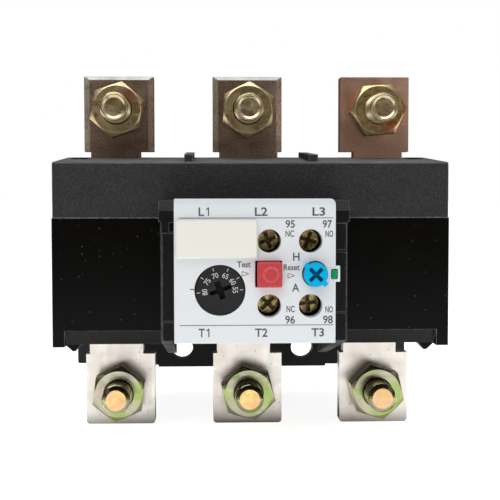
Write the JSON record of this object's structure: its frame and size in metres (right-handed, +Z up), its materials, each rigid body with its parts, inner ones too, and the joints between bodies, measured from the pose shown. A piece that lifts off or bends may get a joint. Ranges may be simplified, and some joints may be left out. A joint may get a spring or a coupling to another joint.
{
  "type": "thermal overload relay",
  "caption": "Bimetal motor overload relay with stud bars above and below, a current dial, test and reset buttons, a trip flag and auxiliary terminals.",
  "frame": {"origin": "on the panel side of the mounting plate, midway between the two panel-screw holes", "axes": "+X to the right seen from the front, +Y into the panel, +Z up"},
  "size_m": [0.1106, 0.1129, 0.1009],
  "materials": {
    "black_moulding": "glass-filled thermoset, fine grain",
    "speckled_moulding": "matte dark grey moulding with a fine light speckle",
    "smooth_black": "smooth black, semi-gloss",
    "module_black": "fine-grained black",
    "white_face": "cool white, satin, printed",
    "cream_label": "cream, satin",
    "dial_black": "black, matte, white scale",
    "natural_nylon": "natural nylon",
    "red_button": "red, satin",
    "blue_knob": "sky blue, satin",
    "green_flag": "green",
    "tinned_bar_dark": "tinned copper, brownish reflections",
    "tinned_bar_bright": "tinned copper, satin",
    "yellow_zinc": "yellow chromate zinc plating with iridescence",
    "bright_steel": "zinc plated",
    "spring_steel": "drawn wire",
    "laminate": "phenolic laminate",
    "bimetal": "rolled bimetal strip",
    "heater_alloy": "heat-darkened resistance strip",
    "contact_brass": "plain brass with silver pads"
  },
  "bodies": {
    "root": {"base_housing": "black_moulding", "main_housing": "speckled_moulding", "side_cover_left": "smooth_black", "side_cover_right": "smooth_black", "module_case": "module_black", "module_back": "module_black", "mechanism_frame": "module_black", "face_plate": "white_face", "label_strip": "cream_label", "upper_bolts": "yellow_zinc", "lower_bolts": "yellow_zinc", "upper_nuts": "yellow_zinc", "lower_nuts": "yellow_zinc", "spring_washers": "yellow_zinc", "flat_washers": "yellow_zinc", "terminal_screws": "yellow_zinc", "housing_screws": "bright_steel", "trip_lever_pin": "bright_steel", "nc_contacts": "contact_brass", "no_contacts": "contact_brass", "terminal_clamps": "bright_steel", "bimetal_brackets": "bright_steel", "test_spring": "spring_steel", "reset_spring": "spring_steel", "return_spring": "spring_steel", "upper_bar_left": "tinned_bar_dark", "lower_bar_left": "tinned_bar_bright", "heater_left": "heater_alloy", "upper_bar_middle": "tinned_bar_dark", "lower_bar_middle": "tinned_bar_bright", "heater_middle": "heater_alloy", "upper_bar_right": "tinned_bar_dark", "lower_bar_right": "tinned_bar_bright", "heater_right": "heater_alloy"},
    "setting_dial": {"setting_dial": "dial_black", "setting_cam": "natural_nylon"},
    "setting_slider": {"setting_slider": "natural_nylon", "compensating_pin": "bright_steel"},
    "compensating_lever": {"compensating_lever": "bright_steel", "compensating_strip": "bimetal"},
    "test_button": {"test_button": "red_button"},
    "reset_slider": {"reset_slider": "natural_nylon"},
    "reset_knob": {"reset_knob": "blue_knob"},
    "trip_slide": {"trip_slide": "laminate"},
    "bimetal_left": {"bimetal_left": "bimetal"},
    "bimetal_middle": {"bimetal_middle": "bimetal"},
    "bimetal_right": {"bimetal_right": "bimetal"},
    "trip_lever": {"trip_lever": "bright_steel"},
    "contact_slider": {"contact_slider": "natural_nylon", "nc_bridge": "contact_brass", "no_bridge": "contact_brass"},
    "trip_indicator": {"trip_indicator": "green_flag"}
  },
  "joints": [
    {"name": "dial_turn", "type": "hinge", "parent": "root", "child": "setting_dial", "pos_m": [-0.0086, -0.106, 0.0287], "axis": [0, -1, 0], "range_deg": [-7.2, 180.5]},
    {"name": "setting_lift", "type": "slide", "parent": "root", "child": "setting_slider", "axis": [0, 0, 1], "range_m": [-0.00006, 0.0015]},
    {"name": "test_push", "type": "slide", "parent": "root", "child": "test_button", "axis": [0, 1, 0], "range_m": [0, 0.002], "stiffness_N_per_m": 400, "springref_m": -0.001, "deforming": ["test_spring"]},
    {"name": "reset_push", "type": "slide", "parent": "root", "child": "reset_slider", "axis": [0, 1, 0], "range_m": [0, 0.002], "stiffness_N_per_m": 400, "springref_m": -0.001, "deforming": ["reset_spring"]},
    {"name": "reset_select", "type": "hinge", "parent": "reset_slider", "child": "reset_knob", "pos_m": [0.0147, -0.1084, 0.03265], "axis": [0, -1, 0], "range_deg": [0, 90]},
    {"name": "trip_travel", "type": "slide", "parent": "root", "child": "trip_slide", "axis": [1, 0, 0], "range_m": [0, 0.0022], "stiffness_N_per_m": 300, "springref_m": -0.001},
    {"name": "bimetal_left_bend", "type": "hinge", "parent": "root", "child": "bimetal_left", "pos_m": [-0.037, -0.042, 0.052], "axis": [0, -1, 0], "range_deg": [0, 5]},
    {"name": "bimetal_middle_bend", "type": "hinge", "parent": "root", "child": "bimetal_middle", "pos_m": [0, -0.042, 0.052], "axis": [0, -1, 0], "range_deg": [0, 5]},
    {"name": "bimetal_right_bend", "type": "hinge", "parent": "root", "child": "bimetal_right", "pos_m": [0.037, -0.042, 0.052], "axis": [0, -1, 0], "range_deg": [0, 5]},
    {"name": "compensator_turn", "type": "hinge", "parent": "setting_slider", "child": "compensating_lever", "pos_m": [-0.0115, -0.074, 0.02], "axis": [0, 0, -1], "range_deg": [0, 12]},
    {"name": "trip_lever_turn", "type": "hinge", "parent": "root", "child": "trip_lever", "pos_m": [0.00857, -0.0764, 0.0245], "axis": [-1, 0, 0], "range_deg": [0, 14]},
    {"name": "contact_travel", "type": "slide", "parent": "root", "child": "contact_slider", "axis": [0, 1, 0], "range_m": [0, 0.0019], "deforming": ["return_spring"]},
    {"name": "indicator_pop", "type": "slide", "parent": "root", "child": "trip_indicator", "axis": [0, -1, 0], "range_m": [0, 0.0021]}
  ],
  "couplings": [
    {"joint": "dial_turn", "follows": "setting_lift", "rad_per_m": 2094.4},
    {"joint": "bimetal_left_bend", "follows": "trip_travel", "rad_per_m": 33.333},
    {"joint": "bimetal_middle_bend", "follows": "trip_travel", "rad_per_m": 33.333},
    {"joint": "bimetal_right_bend", "follows": "trip_travel", "rad_per_m": 33.333},
    {"joint": "compensator_turn", "follows": "trip_travel", "rad_per_m": 81.633},
    {"joint": "trip_lever_turn", "follows": "trip_travel", "rad_per_m": 100.39},
    {"joint": "contact_travel", "follows": "trip_travel", "ratio": 0.8182},
    {"joint": "indicator_pop", "follows": "trip_travel", "ratio": 0.9091}
  ]
}
